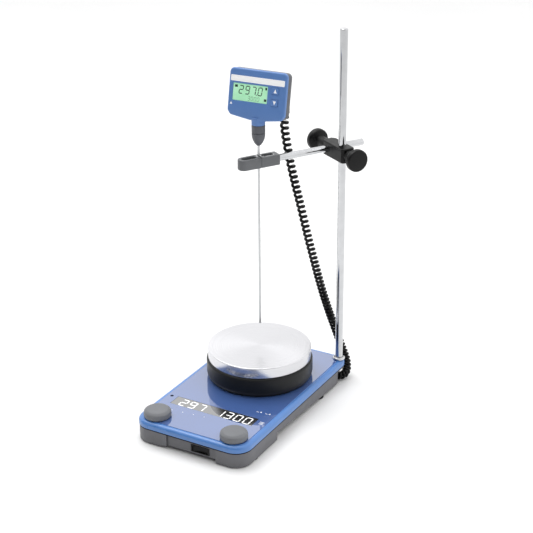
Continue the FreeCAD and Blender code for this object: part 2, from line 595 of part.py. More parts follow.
def arm():
    """The holding rod and the plastic clip that grips the probe at its end."""
    on_head(along_arm("arm_radius", ("-arm_into", "arm_past")), "holding_rod")
    half, thick, middle = "clip_half", "clip_thick/2", "-arm_offset"
    rear, planes = body("ClipRear")
    shape = outline(rear, planes["XY_Plane"], [
        (f"{middle}-{thick}", "-probe_reach+0.3"), (f"{middle}+{thick}", "-probe_reach+0.3"),
        (f"{middle}+{thick}", "-clip_near-1"), (f"{middle}+{thick}-1", "-clip_near"),
        (f"{middle}-{thick}+1", "-clip_near"), (f"{middle}-{thick}", "-clip_near-1")], f"arm_height-{half}")
    pad(rear, shape, f"2*{half}")
    grip = rod("probe_radius+0.05", ("arm_height-20", "arm_height+20"), middle, "-probe_reach")
    pocket = box((f"{middle}-4.4", f"{middle}+4.4"), ("-probe_reach+4.5", "-arm_into-3"),
                 ("arm_height+2", "arm_height+20"))
    keep_rear = cut(rear, along_arm("arm_radius", ("-arm_into", "0")), grip, pocket)
    on_head(keep_rear, "clip_body")
    nose_block = box((f"{middle}-{thick}", f"{middle}+{thick}"),
                     ("-clip_far+clip_thick/2", "-probe_reach-0.3"),
                     (f"arm_height-{half}", f"arm_height+{half}"))
    tip_round = rod(thick, (f"arm_height-{half}", f"arm_height+{half}"), middle, "-clip_far+clip_thick/2")
    well = joined(box((f"{middle}-4", f"{middle}+4"), ("-clip_far+9", "-probe_reach-5"),
                      ("arm_height+2", "arm_height+20")),
                  rod("4", ("arm_height+2", "arm_height+20"), middle, "-clip_far+9"))
    grip = rod("probe_radius+0.05", ("arm_height-20", "arm_height+20"), middle, "-probe_reach")
    on_head(cut(joined(nose_block, tip_round), well, grip), "clip_jaw")
    pull = box((f"{middle}-2", f"{middle}+2"), ("-clip_far+10", "-probe_reach-5.4"),
               ("arm_height+2", "arm_height+4.4"))
    catch = box((f"{middle}-3.4", f"{middle}+3.4"), ("-probe_reach+6.5", "-probe_reach+9.5"),
                ("arm_height+2", "arm_height+5"))
    on_head(joined(pull, catch), "clip_spring")


# ---------------------------------------------------------------- thermometer

def probe_x():
    """The probe's place in the frame, as a formula."""
    return "rod_x-arm_offset*sin(arm_angle)-probe_reach*cos(arm_angle)"


def probe_y():
    """The probe's place in the frame, as a formula."""
    return "rod_y+arm_offset*cos(arm_angle)-probe_reach*sin(arm_angle)"


def on_sensor(thing, label):
    """Turns a piece made about the probe's axis to where the thermometer is, and keeps it."""
    return keep(turned(thing, probe_x(), probe_y(), "case_turn"), label)


def leaned(thing):
    """Leans a piece of the case back from the probe, about a level line through the case's pivot."""
    lowered = doc.addObject("Part::Compound", "Lowered")
    lowered.Links = [thing]
    at(lowered, 0, 0, "-case_pivot")
    holder = doc.addObject("Part::Compound", "Leaned")
    holder.Links = [lowered]
    holder.Placement = Placement(Vector(0, 0, 0), Rotation(Vector(-1, 0, 0), 1))
    bind(holder, Placement__Rotation__Angle="case_lean")
    return at(holder, "-case_shift", 0, "case_pivot")


def case_half(name, y):
    """One shell of the case between two depths: a rounded rectangle that slopes in below to its neck."""
    half, middle = "case_width/2", "gland_radius"
    points = [(f"-{half}", "case_low+6.5"), (f"-{half}+4", "case_low+1.2"), (f"-{middle}", "case_low-2.6"),
              (middle, "case_low-2.6"), (f"{half}-4", "case_low+1.2"), (half, "case_low+6.5"),
              (half, "case_high-5"), (f"{half}-5", "case_high"), (f"-{half}+5", "case_high"),
              (f"-{half}", "case_high-5")]
    shell, planes = body(name)
    shape = outline(shell, planes["XZ_Plane"], points, f"-({y[1]})")
    pad(shell, shape, f"({y[1]})-({y[0]})")
    return shell


def case_room(y):
    """The room inside the case between two depths."""
    inner = "case_width/2-case_wall"
    return box((f"-({inner})", inner), y, ("case_low+8", "case_high-case_wall-1"))


def case_shells():
    """The blue front shell with its neck, and the grey back shell with the cord's spout."""
    front = case_half("CaseFront", ("-case_front", "-case_split"))
    window = box(("-lcd_left", "-lcd_left+lcd_width"), ("-case_front-1", "0"),
                 ("lcd_low", "lcd_low+lcd_height"))
    key_holes = [box(("key_across-key_half-0.2", "key_across+key_half+0.2"), ("-case_front-1", "0"),
                     (f"{z}-key_half+0.6", f"{z}+key_half-0.6")) for z in ("key_upper", "key_lower")]
    front = cut(front, case_room(("-case_front+case_wall", "case_front")), window, *key_holes)
    neck = rod("gland_radius", ("neck_low", "neck_high"))
    bore = rod("probe_radius", ("neck_low-1", "case_high"))
    on_sensor(cut(joined(leaned(front), neck), bore), "sensor_front_shell")
    back = case_half("CaseBack", ("-case_split", "case_back"))
    back = cut(back, case_room(("-case_front", "case_back-case_wall")))
    neck_room = rod("gland_radius+0.05", ("neck_low-1", "neck_high+0.05"))
    spout = sideways("spout_radius", ("case_back-1", "case_back+spout_reach"), "spout_x", "spout_z")
    on_sensor(joined(cut(leaned(back), neck_room, bore), leaned(spout)), "sensor_back_shell")


def case_contents():
    """The display, the board, the two keys and the screws of the case."""
    on_sensor(leaned(box(("-lcd_left+0.2", "-lcd_left+lcd_width-0.2"), ("-case_front+0.8", "-case_front+4"),
                         ("lcd_low+0.2", "lcd_low+lcd_height-0.2"))), "sensor_display")
    on_sensor(leaned(box(("-case_width/2+4", "case_width/2-4"), ("0.5", "2"),
                         ("case_low+13", "case_high-6"))), "sensor_board")
    for name, height in (("up_button", "key_upper"), ("down_button", "key_lower")):
        key, planes = body(name.title().replace("_", ""))
        left, right, reach = "key_across-key_half", "key_across+key_half", "key_half-0.8"
        shape = outline(key, planes["XZ_Plane"], [
            (left, f"{height}-({reach})"), (right, f"{height}-({reach})"),
            (right, f"{height}+({reach})"), (left, f"{height}+({reach})")], "case_front-4")
        feature = pad(key, shape, "4.9")
        rounded(key, feature, lambda e: e.BoundBox.YMax < -8 and e.BoundBox.YLength < 0.01, "0.6")
        on_sensor(leaned(key), name)
    screws = [sideways("2.2", ("case_back", "case_back+0.9"), x, z)
              for x in ("-case_width/2+8", "case_width/2-8") for z in ("case_low+12", "case_high-8")]
    on_sensor(leaned(joined(*screws)), "sensor_screws")


def gland_and_probe():
    """The gland's ring and tip under the neck, and the steel probe that runs through them into the case."""
    radius = "gland_radius"
    on_sensor(cut(rod(radius, ("gland_low", "neck_low")), rod("probe_radius", ("gland_low-1", "neck_low+1"))),
              "gland_ring")
    ogive = profile("Ogive", [
        ("probe_radius", "tip_low"), (f"{radius}*0.36", "tip_low+1.6"), (f"{radius}*0.66", "tip_low+4.6"),
        (f"{radius}*0.87", "tip_low+8.4"), (f"{radius}*0.975", "tip_low+12.4"), (radius, "gland_low"),
        ("probe_radius", "gland_low")])
    on_sensor(ogive, "gland_tip")
    on_sensor(rod("probe_radius", ("probe_low", "neck_high+6")), "probe")


# ---------------------------------------------------------------- curly cord

ROUTE = {
    "cord_low": [(60.4, 121, 9.6), (69.2, 120.2, 8.2), (76.6, 124.6, 6.4), (80.2, 132, 7.2),
                 (79.5, 139.8, 11.8), (76.2, 145, 20.5), (69.8, 148.5, 31), (60.8, 151.5, 46),
                 (51.5, 149, 73)],
    "cord_middle": [(51.5, 149, 73), (46.1, 143, 97), (40, 136, 128), (32.5, 129.3, 168)],
    "cord_upper": [(32.5, 129.3, 168), (24.9, 124, 206), (18.8, 118.8, 243)],
    "cord_high": [(18.8, 118.8, 243), (15.5, 110.5, 274), (13.2, 102, 304), (11.4, 95.5, 332),
                  (10.4, 90.5, 356), (11.6, 88, 371), (14.6, 85, 382), (18, 78, 385.8),
                  (19.1, 70.2, 387.4)],
}


def route_edges(points):
    """Straight runs joined by tangent arcs, each arc as large as its two runs allow."""
    points = [Vector(*p) for p in points]
    edges, start, radii = [], points[0], []
    for before, corner, after in zip(points, points[1:], points[2:]):
        back, ahead = (before - corner), (after - corner)
        reach = 0.45 * min(back.Length, ahead.Length)
        first = corner + back.normalize() * reach
        last = corner + ahead.normalize() * reach
        half_turn = (math.pi - back.getAngle(ahead)) / 2
        radius = reach / math.tan(half_turn)
        centre_way = (back + ahead).normalize()
        middle = corner + centre_way * (radius / math.cos(half_turn) - radius)
        edges.append(Part.LineSegment(start, first).toShape())
        edges.append(Part.Arc(first, middle, last).toShape())
        radii.append(radius)
        start = last
    edges.append(Part.LineSegment(start, points[-1]).toShape())
    return edges, radii


def cord():
    """The coiled lead's outer shape as four fat tubes, cut square to the line between two joints."""
    names = list(ROUTE)
    whole = ROUTE[names[0]] + [p for name in names[1:] for p in ROUTE[name][1:]]
    edges, radii = route_edges(whole)
    print("cord radii", [round(r, 1) for r in radii])
    corners = {tuple(ROUTE[name][-1]) for name in names[:-1]}
    groups, current = [], []
    for index, edge in enumerate(edges):
        is_arc = index % 2 == 1
        corner = tuple(whole[(index + 1) // 2]) if is_arc else None
        if is_arc and corner in corners:
            middle = edge.valueAt((edge.FirstParameter + edge.LastParameter) / 2)
            ends = edge.valueAt(edge.FirstParameter), edge.valueAt(edge.LastParameter)
            quarter = [edge.valueAt(edge.FirstParameter + (edge.LastParameter - edge.FirstParameter) * k)
                       for k in (0.25, 0.75)]
            groups.append(current + [Part.Arc(ends[0], quarter[0], middle).toShape()])
            current = [Part.Arc(middle, quarter[1], ends[1]).toShape()]
        else:
            current.append(edge)
    groups.append(current)
    radius = size("coil_radius")
    for name, group in zip(names, groups):
        path = Part.Wire(group)
        first = group[0]
        normal = first.tangentAt(first.FirstParameter)
        ring = Part.Wire(Part.makeCircle(radius, first.valueAt(first.FirstParameter), normal))
        tube_shape = path.makePipeShell([ring], True, False, 2)
        thing = doc.addObject("Part::Feature", name.title())
        thing.Shape = tube_shape
        keep(thing, name)
        expected = math.pi * radius ** 2 * path.Length
        print(name, "length", round(path.Length, 1), "volume ratio", round(tube_shape.Volume / expected, 4))


lower_housing()
upper_cover()
housing_seal()
top_panel()
base_fittings()
mains_parts()
sensor_port()
power_switch()
pedestal()
motor()
knob_set("heat", -1)
knob_set("motor", 1)
safety_screw()
stand()
boss_head()
clamp_knobs()
arm()
case_shells()
case_contents()
gland_and_probe()
cord()

doc.recompute()
for thing in doc.Objects:
    if {"Invalid", "Error"} & set(thing.State):
        raise SystemExit(f"{thing.Name} ({thing.Label}) failed: {thing.State}")
for thing in made:
    shape = thing.Shape
    if shape.isNull() or not shape.isValid() or not shape.Solids:
        raise SystemExit(f"{thing.Label} has no valid solid")

os.makedirs("parts", exist_ok=True)
for old in os.listdir("parts"):
    if old.endswith(".step"):
        os.remove(os.path.join("parts", old))
for thing in made:
    thing.Shape.exportStep(f"parts/{thing.Label}.step")
    print(thing.Label, len(thing.Shape.Solids), round(thing.Shape.Volume))
print(len(made), "sub-parts")
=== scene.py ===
"""Looks for the hot-plate stirrer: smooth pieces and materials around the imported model.

Metres in the model's own frame: +Z up, -Y the front, where the knobs are.  Sizes written in
millimetres are multiplied by MM where they are used.
"""
import json
import math

import bmesh
import bpy
from mathutils import Matrix, Vector


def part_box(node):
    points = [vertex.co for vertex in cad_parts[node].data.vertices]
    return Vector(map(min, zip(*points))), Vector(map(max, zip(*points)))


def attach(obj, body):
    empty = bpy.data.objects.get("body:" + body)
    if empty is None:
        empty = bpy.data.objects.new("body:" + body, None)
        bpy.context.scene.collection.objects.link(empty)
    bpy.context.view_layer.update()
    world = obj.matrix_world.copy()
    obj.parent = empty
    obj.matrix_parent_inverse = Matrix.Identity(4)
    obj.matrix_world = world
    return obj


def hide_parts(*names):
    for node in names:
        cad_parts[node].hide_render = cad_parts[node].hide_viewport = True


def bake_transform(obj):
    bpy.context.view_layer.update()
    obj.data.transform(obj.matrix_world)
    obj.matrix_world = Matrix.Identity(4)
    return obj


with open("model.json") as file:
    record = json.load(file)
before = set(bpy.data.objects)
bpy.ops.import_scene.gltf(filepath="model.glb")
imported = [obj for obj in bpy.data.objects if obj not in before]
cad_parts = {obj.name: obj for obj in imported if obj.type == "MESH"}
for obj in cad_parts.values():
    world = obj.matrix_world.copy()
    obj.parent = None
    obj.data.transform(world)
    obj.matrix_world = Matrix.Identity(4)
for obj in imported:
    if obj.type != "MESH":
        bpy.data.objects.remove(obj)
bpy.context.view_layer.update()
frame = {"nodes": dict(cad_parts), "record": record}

MM = 0.001
nodes = frame["nodes"]


def low(node):
    """The lowest corner of a node's box."""
    return Vector(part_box(node)[0])


def high(node):
    """The highest corner of a node's box."""
    return Vector(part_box(node)[1])


def middle(node):
    """The middle of a node's box."""
    return (low(node) + high(node)) / 2


# ---------------------------------------------------------------- camera and cord

VIEW_ANGLES = (29.87, 23.86, -0.43)  # azimuth, elevation and roll, in degrees
AIM_HEIGHT, AIM_RIGHT, AIM_DOWN = 0.2, 0.0303, 0.0004
CAMERA_DISTANCE, LENS = 1.7327, 93.83


def add_camera():
    """A long lens from the front right, above the panel."""
    azimuth, elevation, roll = (math.radians(angle) for angle in VIEW_ANGLES)
    right = Vector((math.cos(azimuth), math.sin(azimuth), 0))
    back = Vector((math.sin(azimuth) * math.cos(elevation), -math.cos(azimuth) * math.cos(elevation),
                   math.sin(elevation)))
    up = back.cross(right)
    aim = Vector((0, 0, AIM_HEIGHT)) + AIM_RIGHT * right - AIM_DOWN * up
    turned_right = math.cos(roll) * right + math.sin(roll) * up
    turned_up = math.cos(roll) * up - math.sin(roll) * right
    camera = bpy.data.objects.new("camera", bpy.data.cameras.new("camera"))
    camera.data.sensor_width = 36
    camera.data.lens = LENS
    camera.matrix_world = Matrix.Translation(aim + CAMERA_DISTANCE * back) @ Matrix(
        (turned_right, turned_up, back)).transposed().to_4x4()
    bpy.context.scene.collection.objects.link(camera)
    bpy.context.scene.camera = camera


ROUTE = {
    "cord_low": [(60.4, 121, 9.6), (69.2, 120.2, 8.2), (76.6, 124.6, 6.4), (80.2, 132, 7.2),
                 (79.5, 139.8, 11.8), (76.2, 145, 20.5), (69.8, 148.5, 31), (60.8, 151.5, 46),
                 (51.5, 149, 73)],
    "cord_middle": [(51.5, 149, 73), (46.1, 143, 97), (40, 136, 128), (32.5, 129.3, 168)],
    "cord_upper": [(32.5, 129.3, 168), (24.9, 124, 206), (18.8, 118.8, 243)],
    "cord_high": [(18.8, 118.8, 243), (15.5, 110.5, 274), (13.2, 102, 304), (11.4, 95.5, 332),
                  (10.4, 90.5, 356), (11.6, 88, 371), (14.6, 85, 382), (18, 78, 385.8),
                  (19.1, 70.2, 387.4)],
}
WIRE_RADIUS = 1.95 * MM
COIL_RADIUS = 4 * MM
PITCH_LOW, PITCH_HIGH = 4.6 * MM, 8 * MM
STRAIGHT_END, LEAD_IN = 1 * MM, 8 * MM  # the coil widens from nothing between these, at both ends
LOOSENING = (0.05, 0.85)  # the shares of the route between which the pitch grows
STEPS_PER_TURN = 16
WIRE_SIDES = 10
WIRE_START_SIDE = Vector((0.3, 0.2, 0.9))


def link(obj):
    """Puts an object in the scene and gives it back."""
    bpy.context.scene.collection.objects.link(obj)
    return obj


def as_mesh(name, curve):
    """A mesh of a curve's final shape."""
    holder = link(bpy.data.objects.new(name, curve))
    final = holder.evaluated_get(bpy.context.evaluated_depsgraph_get())
    mesh = bpy.data.meshes.new_from_object(final)
    bpy.data.objects.remove(holder)
    return mesh


def route_line():
    """The points of one smooth line through the whole route."""
    names = list(ROUTE)
    corners = ROUTE[names[0]] + [point for name in names[1:] for point in ROUTE[name][1:]]
    curve = bpy.data.curves.new("route", "CURVE")
    curve.dimensions = "3D"
    curve.resolution_u = 24
    spline = curve.splines.new("NURBS")
    spline.points.add(len(corners) - 1)
    for point, corner in zip(spline.points, corners):
        point.co = (*(Vector(corner) * MM), 1)
    spline.order_u = 3
    spline.use_endpoint_u = True
    return [vertex.co.copy() for vertex in as_mesh("route", curve).vertices]


def evenly(line, step):
    """Points along a line, about a step apart and evenly spaced."""
    lengths = [0]
    for a, b in zip(line, line[1:]):
        lengths.append(lengths[-1] + (b - a).length)
    count = int(lengths[-1] / step)
    points, index = [], 0
    for k in range(count + 1):
        want = lengths[-1] * k / count
        while index < len(line) - 2 and lengths[index + 1] < want:
            index += 1
        part = (want - lengths[index]) / (lengths[index + 1] - lengths[index])
        points.append(line[index].lerp(line[index + 1], part))
    return points


def ramp(value, start, end):
    """0 below start, 1 above end, and a smooth rise between them."""
    part = min(max((value - start) / (end - start), 0), 1)
    return part * part * (3 - 2 * part)


def helix(line):
    """The wire's own line, wound round the route, and the route's points that it is wound on."""
    step = PITCH_LOW / STEPS_PER_TURN
    points = evenly(line, step)
    total = len(points) * step
    side = Vector((0, 0, 1)).cross(points[1] - points[0]).normalized()
    angle, wire = 0.0, []
    for index, point in enumerate(points):
        ahead = points[min(index + 1, len(points) - 1)] - points[max(index - 1, 0)]
        ahead.normalize()
        side = (side - ahead * side.dot(ahead)).normalized()
        other = ahead.cross(side)
        along = index * step
        width = ramp(along, STRAIGHT_END, LEAD_IN) * ramp(total - along, STRAIGHT_END, LEAD_IN)
        wire.append(point + width * COIL_RADIUS * (math.cos(angle) * side + math.sin(angle) * other))
        loosened = ramp(along, LOOSENING[0] * total, LOOSENING[1] * total)
        pitch = PITCH_LOW + (PITCH_HIGH - PITCH_LOW) * loosened
        angle -= width * math.tau * step / pitch
    return wire, points


def wire_tube(name, path):
    """A round wire along a path of points."""
    side = WIRE_START_SIDE.cross(path[1] - path[0]).normalized()
    loops = []
    for index, point in enumerate(path):
        ahead = path[min(index + 1, len(path) - 1)] - path[max(index - 1, 0)]
        ahead.normalize()
        side = (side - ahead * side.dot(ahead)).normalized()
        other = ahead.cross(side)
        turns = (math.tau * k / WIRE_SIDES for k in range(WIRE_SIDES))
        loops.append([point + WIRE_RADIUS * (math.cos(t) * side + math.sin(t) * other) for t in turns])
    return skin(name, loops, "cord_black")


def add_cord():
    """The curly lead: one helix cut into four lengths at the joints that the route crosses."""
    joints = {"cord_low": ("base", "stand"), "cord_middle": ("stand", "head"),
              "cord_upper": ("head", "arm"), "cord_high": ("arm", "sensor")}
    wire, spine = helix(route_line())
    start = 0
    for name, (first_body, second_body) in joints.items():
        corner = Vector(ROUTE[name][-1]) * MM
        stop = len(spine) - 1
        if name != "cord_high":
            stop = min(range(len(spine)), key=lambda i: (spine[i] - corner).length)
        path = wire[start:stop + 1]
        piece = wire_tube(f"{name}_coil", path)
        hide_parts(name)
        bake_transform(piece)
        start = stop


# ---------------------------------------------------------------- shapes

WELD = 1e-7
EDGE_STEPS = 4


def rounded(points, radii, steps=6):
    """A flat outline whose corners are rounded to arcs; a radius of nothing keeps a corner sharp."""
    result = []
    for index, (point, radius) in enumerate(zip(points, radii)):
        corner = Vector(point)
        if not radius:
            result.append(corner)
            continue
        back = Vector(points[index - 1]) - corner
        ahead = Vector(points[(index + 1) % len(points)]) - corner
        half = back.angle(ahead) / 2
        reach = min(radius / math.tan(half), 0.49 * min(back.length, ahead.length))
        radius = reach * math.tan(half)
        back.normalize()
        ahead.normalize()
        centre = corner + (back + ahead).normalized() * radius / math.sin(half)
        first = (corner + back * reach - centre).normalized()
        last = (corner + ahead * reach - centre).normalized()
        result += [centre + radius * first.slerp(last, k / steps) for k in range(steps + 1)]
    return result


def in_mm(points):
    """Flat points in millimetres, as metres."""
    return [(x * MM, y * MM) for x, y in points]


def box_outline(x, y, radii, steps=10):
    """A rounded rectangle's outline in millimetres, anticlockwise, with four radii from (low x, low y)."""
    corners = [(x[0], y[0]), (x[1], y[0]), (x[1], y[1]), (x[0], y[1])]
    return rounded(in_mm(corners), [radius * MM for radius in radii], steps)


def new_piece(name, shape, slot, matrix, body, sharp=35):
    """An object from a bmesh, with smooth shading, a material, a slot of the record and its body."""
    bmesh.ops.remove_doubles(shape, verts=shape.verts, dist=WELD)
    bmesh.ops.dissolve_degenerate(shape, edges=shape.edges, dist=WELD)
    bmesh.ops.recalc_face_normals(shape, faces=shape.faces)
    mesh = bpy.data.meshes.new(name)
    shape.to_mesh(mesh)
    shape.free()
    mesh.transform(matrix)
    mesh.polygons.foreach_set("use_smooth", [True] * len(mesh.polygons))
    mesh.set_sharp_from_angle(angle=math.radians(sharp))
    mesh.materials.append(MATERIALS[slot]())
    piece = link(bpy.data.objects.new(name, mesh))
    if body:
        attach(piece, body)
    return piece


def band(shape, first, second):
    """Faces between two rings of equally many vertices."""
    for k in range(len(first)):
        shape.faces.new((first[k - 1], first[k], second[k], second[k - 1]))


def skin(name, loops, slot, matrix=Matrix(), body=None):
    """A closed surface through rings of equally many points; both ends are capped, a bore's too."""
    shape = bmesh.new()
    rings = [[shape.verts.new(point) for point in loop] for loop in loops]
    for first, second in zip(rings, rings[1:]):
        band(shape, first, second)
    shape.faces.new(rings[0])
    shape.faces.new(rings[-1])
    return new_piece(name, shape, slot, matrix, body)


def lathe(name, points, radii, slot, matrix, body, steps=96):
    """A turned piece: (radius, height) corners in millimetres, each rounded, spun about the matrix's Z."""
    profile = rounded(in_mm([(max(radius, 0.01), height) for radius, height in points]),
                      [radius * MM for radius in radii])
    turns = [math.tau * k / steps for k in range(steps)]
    return skin(name, [[(r * math.cos(t), r * math.sin(t), z) for t in turns] for r, z in profile],
                slot, matrix, body)


def inset(outline, distance):
    """An anticlockwise outline moved inwards."""
    result = []
    for index, point in enumerate(outline):
        before = (point - outline[index - 1]).normalized()
        after = (outline[(index + 1) % len(outline)] - point).normalized()
        ahead = (before + after).normalized()
        result.append(point + Vector((-ahead.y, ahead.x)) * distance / max(ahead.dot(after), 0.5))
    return result


def slab(name, outline, holes, heights, edge, slot, matrix, body, hole_edge=0.25):
    """A flat piece between two heights, cut to an outline, with holes; all its edges are round."""
    shape = bmesh.new()
    low_edges, high_edges = [], []
    for loop, radius, way in [(outline, edge, 1), *[(hole, hole_edge, -1) for hole in holes]]:
        turns = [math.pi / 2 * k / EDGE_STEPS for k in range(EDGE_STEPS + 1)]
        steps = [(1 - math.sin(t), heights[0] + radius * (1 - math.cos(t))) for t in turns]
        steps += [(1 - math.sin(t), heights[1] - radius * (1 - math.cos(t))) for t in reversed(turns)]
        rings = []
        for share, height in steps:
            places = inset(loop, way * share * radius * MM)
            rings.append([shape.verts.new((x, y, height * MM)) for x, y in places])
        for first, second in zip(rings, rings[1:]):
            band(shape, first, second)
        for ring, found in ((rings[0], low_edges), (rings[-1], high_edges)):
            found += [shape.edges.get((ring[k - 1], ring[k])) for k in range(len(ring))]
    for found in (low_edges, high_edges):
        bmesh.ops.triangle_fill(shape, use_beauty=True, edges=found)
    return new_piece(name, shape, slot, matrix, body, sharp=50)


def rectangle(x, y, half_width, half_height):
    """A rectangle about a point, anticlockwise."""
    return [(x - half_width, y - half_height), (x + half_width, y - half_height),
            (x + half_width, y + half_height), (x - half_width, y + half_height)]


def prints(name, shapes, thickness, slot, matrix, body):
    """Thin raised shapes, as in printing: each a convex outline in millimetres."""
    shape = bmesh.new()
    for outline in shapes:
        loops = [[shape.verts.new((x * MM, y * MM, z * MM)) for x, y in outline] for z in (0, thickness)]
        band(shape, *loops)
        for loop in loops:
            shape.faces.new(loop)
    return new_piece(name, shape, slot, matrix, body)


SEGMENTS = {"0": "abcdef", "1": "bc", "2": "abged", "3": "abgcd", "4": "fgbc", "5": "afgcd",
            "6": "afgedc", "7": "abc", "8": "abcdefg", "9": "abcdfg"}


def digit_shapes(text, corner, width, height, stroke, advance, slant):
    """The lit bars of seven-segment digits, each a bar with pointed ends, leaning by slant."""
    half, gap = stroke / 2, stroke * 0.12
    left, right, low_y, mid_y, high_y = half, width - half, half, height / 2, height - half
    lines = {"a": (left, high_y, right, high_y), "b": (right, mid_y, right, high_y),
             "c": (right, low_y, right, mid_y), "d": (left, low_y, right, low_y),
             "e": (left, low_y, left, mid_y), "f": (left, mid_y, left, high_y),
             "g": (left, mid_y, right, mid_y)}
    shapes, pen = [], corner[0]
    for sign in text:
        if sign == ".":
            dot = pen - (advance - width) / 2
            box_points = [(dot - half, 0), (dot + half, 0), (dot + half, stroke), (dot - half, stroke)]
            shapes.append([(x + slant * y, corner[1] + y) for x, y in box_points])
            continue
        for bar in SEGMENTS[sign]:
            x1, y1, x2, y2 = lines[bar]
            run = Vector((x2 - x1, y2 - y1)).normalized()
            across = Vector((-run.y, run.x))
            start, end = Vector((x1, y1)) + run * gap, Vector((x2, y2)) - run * gap
            outline = [start, start + (run - across) * half, end - (run + across) * half, end,
                       end + (across - run) * half, start + (run + across) * half]
            shapes.append([(pen + p.x + slant * p.y, corner[1] + p.y) for p in outline])
        pen += advance
    return shapes


# ---------------------------------------------------------------- materials

def srgb(*levels):
    """A colour given as 0 to 255 levels, as linear light."""
    parts = [level / 255 for level in levels]
    return tuple(p / 12.92 if p <= 0.04045 else ((p + 0.055) / 1.055) ** 2.4 for p in parts) + (1,)


class Surface:
    """A material's node tree, with short calls for the noise, colour and bump that most need."""

    def __init__(self, name):
        self.material = bpy.data.materials.new(name)
        self.material.use_nodes = True
        self.tree = self.material.node_tree
        self.shader = self.tree.nodes["Principled BSDF"]
        self.place = self.node("ShaderNodeTexCoord").outputs["Object"]
        self.bump_from = None

    def node(self, kind, **settings):
        made = self.tree.nodes.new(kind)
        for key, value in settings.items():
            setattr(made, key, value)
        return made

    def join(self, source, target):
        self.tree.links.new(source, target)

    def put(self, **values):
        for key, value in values.items():
            self.shader.inputs[key.replace("_", " ")].default_value = value

    def noise(self, size, detail=3, stretch=(1, 1, 1)):
        """Noise whose lumps are about size metres across."""
        place = self.node("ShaderNodeMapping")
        self.join(self.place, place.inputs["Vector"])
        place.inputs["Scale"].default_value = stretch
        noise = self.node("ShaderNodeTexNoise")
        noise.inputs["Scale"].default_value = 1 / size
        noise.inputs["Detail"].default_value = detail
        self.join(place.outputs["Vector"], noise.inputs["Vector"])
        return noise.outputs["Fac"]

    def spread(self, source, bottom, top, start=0.3, end=0.7):
        """A value that runs from bottom to top as the source runs from start to end."""
        span = self.node("ShaderNodeMapRange")
        for key, value in (("From Min", start), ("From Max", end), ("To Min", bottom), ("To Max", top)):
            span.inputs[key].default_value = value
        self.join(source, span.inputs["Value"])
        return span.outputs["Result"]

    def tint(self, source, first, second, start=0.3, end=0.7):
        """A colour that runs from the first to the second as the source runs from start to end."""
        mix = self.node("ShaderNodeMix", data_type="RGBA")
        mix.inputs["A"].default_value = first
        mix.inputs["B"].default_value = second
        self.join(self.spread(source, 0, 1, start, end), mix.inputs["Factor"])
        return mix.outputs["Result"]

    def bump(self, source, depth, strength=1.0):
        """Adds relief to the shader's normal; depth is in metres."""
        node = self.node("ShaderNodeBump")
        node.inputs["Strength"].default_value = strength
        node.inputs["Distance"].default_value = depth
        self.join(source, node.inputs["Height"])
        if self.bump_from:
            self.join(self.bump_from, node.inputs["Normal"])
        self.bump_from = node.outputs["Normal"]
        self.join(self.bump_from, self.shader.inputs["Normal"])


def scaled(colour, factor):
    """A colour made darker or lighter by a factor."""
    return tuple(min(channel * factor, 1) for channel in colour[:3]) + (1,)


def moulded(name, colour, roughness, grain=0.35 * MM, relief=0.03 * MM, variation=0.05, **values):
    """Moulded plastic: a fine spark-eroded grain, slow changes of tone and uneven gloss."""
    surface = Surface(name)
    tone = surface.noise(28 * MM)
    surface.join(surface.tint(tone, scaled(colour, 1 - variation), scaled(colour, 1 + variation)),
                 surface.shader.inputs["Base Color"])
    surface.join(surface.spread(surface.noise(6 * MM), roughness - 0.05, roughness + 0.06),
                 surface.shader.inputs["Roughness"])
    surface.bump(surface.noise(grain, 2), relief, 0.35)
    surface.put(**values)
    return surface.material


def polished(name, colour, roughness, stretch=(1, 1, 0.04), relief=0.004 * MM, **values):
    """Metal with fine drawing marks along one way and faint smears."""
    surface = Surface(name)
    surface.put(Metallic=1.0, **values)
    marks = surface.noise(0.5 * MM, 3, stretch)
    surface.join(surface.tint(surface.noise(9 * MM), scaled(colour, 0.95), scaled(colour, 1.04)),
                 surface.shader.inputs["Base Color"])
    surface.join(surface.spread(marks, roughness * 0.7, roughness * 1.4), surface.shader.inputs["Roughness"])
    surface.bump(marks, relief, 0.5)
    return surface.material


def blue_cover():
    """The cover's blue, a smooth satin with very little grain."""
    return moulded("blue_cover", srgb(82, 132, 200), 0.32, 1.2 * MM, 0.008 * MM, 0.03,
                   Coat_Weight=0.35, Coat_Roughness=0.2)


def panel_glass():
    """The glossy pane: blue under a clear top face with the faintest waviness."""
    surface = Surface("panel_glass")
    colour = srgb(76, 106, 168)
    surface.join(surface.tint(surface.noise(60 * MM), scaled(colour, 0.96), scaled(colour, 1.04)),
                 surface.shader.inputs["Base Color"])
    surface.join(surface.spread(surface.noise(14 * MM), 0.03, 0.07), surface.shader.inputs["Roughness"])
    surface.bump(surface.noise(90 * MM, 1), 0.02 * MM, 0.3)
    surface.put(IOR=1.6, Coat_Weight=1.0, Coat_Roughness=0.02, Coat_IOR=2.4)
    return surface.material


def grey_housing():
    return moulded("grey_housing", srgb(108, 108, 112), 0.5, 0.5 * MM, 0.03 * MM)


def knob_grey():
    return moulded("knob_grey", srgb(116, 118, 122), 0.55, 0.4 * MM, 0.02 * MM, 0.04)


def black_ring():
    return moulded("black_ring", srgb(20, 21, 23), 0.4, 0.6 * MM, 0.015 * MM, 0.12, Specular_IOR_Level=0.3)


def black_plastic():
    return moulded("black_plastic", srgb(9, 9, 10), 0.4, 0.4 * MM, 0.02 * MM, 0.1, Specular_IOR_Level=0.25)


def black_rubber():
    return moulded("black_rubber", srgb(22, 22, 24), 0.75, 0.3 * MM, 0.03 * MM, 0.12, Specular_IOR_Level=0.2)


def cord_black():
    """The lead's jacket, smooth and a little shiny."""
    return moulded("cord_black", srgb(9, 9, 10), 0.35, 0.5 * MM, 0.008 * MM, 0.15, Specular_IOR_Level=0.22)


